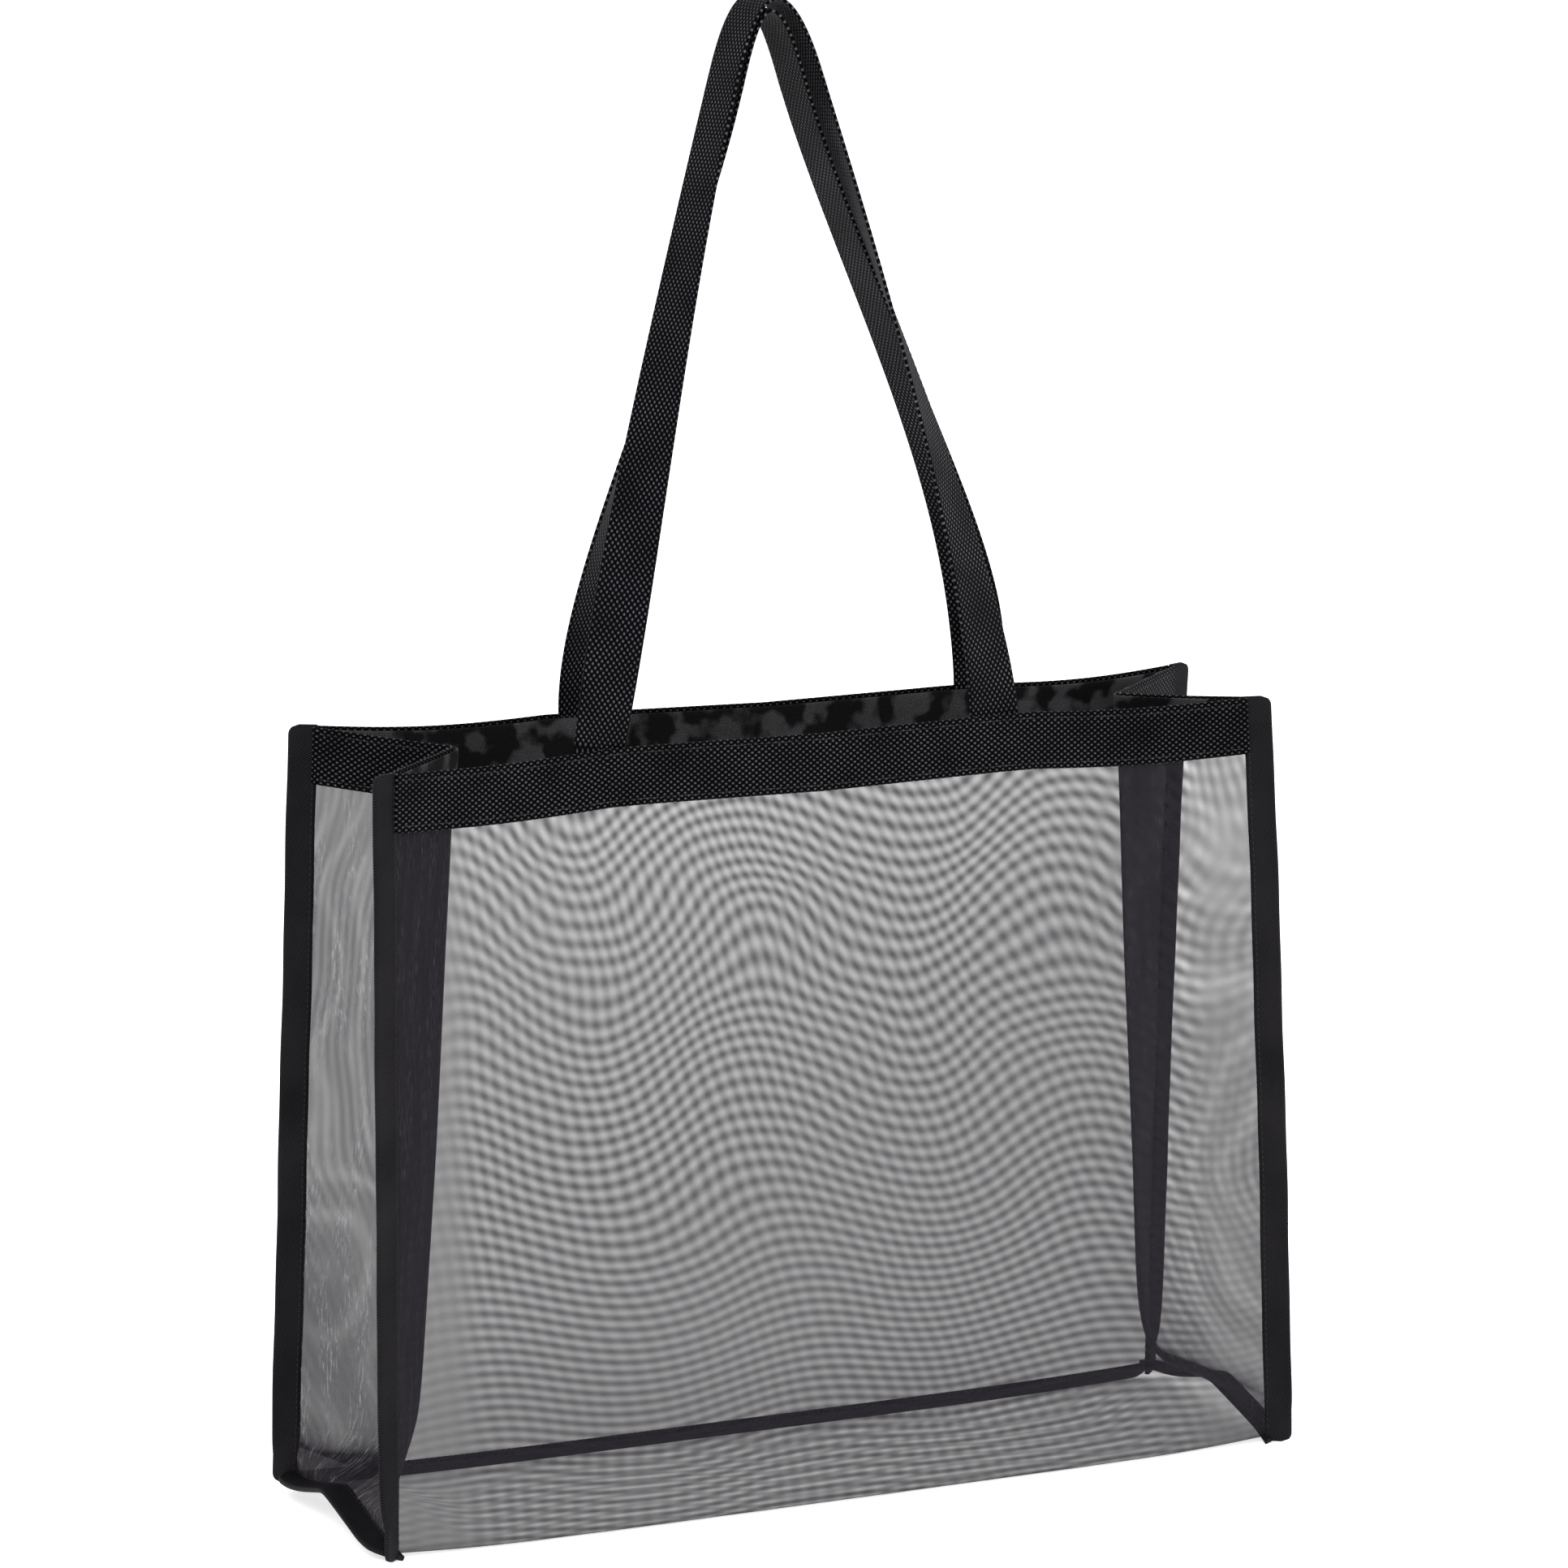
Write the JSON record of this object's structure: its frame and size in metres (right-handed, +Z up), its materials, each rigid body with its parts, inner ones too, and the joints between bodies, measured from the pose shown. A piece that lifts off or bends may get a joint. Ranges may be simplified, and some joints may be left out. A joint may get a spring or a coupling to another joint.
{
  "type": "mesh beach tote bag",
  "caption": "See-through mesh beach tote with inward folding side gussets, bound seams, a webbing band round the mouth and two webbing shoulder handles.",
  "frame": {"origin": "on the ground under the middle of the bag, at the bottom centre of its bounding box", "axes": "+X to the bag's right seen from its front, +Y to its back, +Z up through the handles"},
  "size_m": [0.4824, 0.1395, 0.7017],
  "materials": {
    "mesh": "sheer black polyester net",
    "facing": "fine black twill",
    "webbing": "ribbed black polypropylene webbing, slight sheen",
    "binding": "black twill binding tape"
  },
  "bodies": {
    "bag": {"front_bottom_panel": "mesh", "back_panel": "mesh", "left_gusset": "mesh", "right_gusset": "mesh", "front_band": "webbing", "back_band": "webbing", "left_band": "webbing", "right_band": "webbing", "front_facing": "facing", "back_facing": "facing", "left_facing": "facing", "right_facing": "facing", "front_left_binding": "binding", "front_right_binding": "binding", "back_left_binding": "binding", "back_right_binding": "binding", "left_base_binding": "binding", "right_base_binding": "binding", "back_base_binding": "binding", "front_handle_left_end": "webbing", "front_handle_right_end": "webbing", "back_handle_left_end": "webbing", "back_handle_right_end": "webbing"},
    "front_handle": {"front_handle": "webbing"},
    "back_handle": {"back_handle": "webbing"}
  },
  "joints": [
    {"name": "front_handle_fold", "type": "hinge", "parent": "bag", "child": "front_handle", "pos_m": [0, -0.0385, 0.3655], "axis": [1, 0, 0], "range_deg": [0, 170]},
    {"name": "back_handle_fold", "type": "hinge", "parent": "bag", "child": "back_handle", "pos_m": [0, 0.0385, 0.3655], "axis": [-1, 0, 0], "range_deg": [0, 170]}
  ]
}
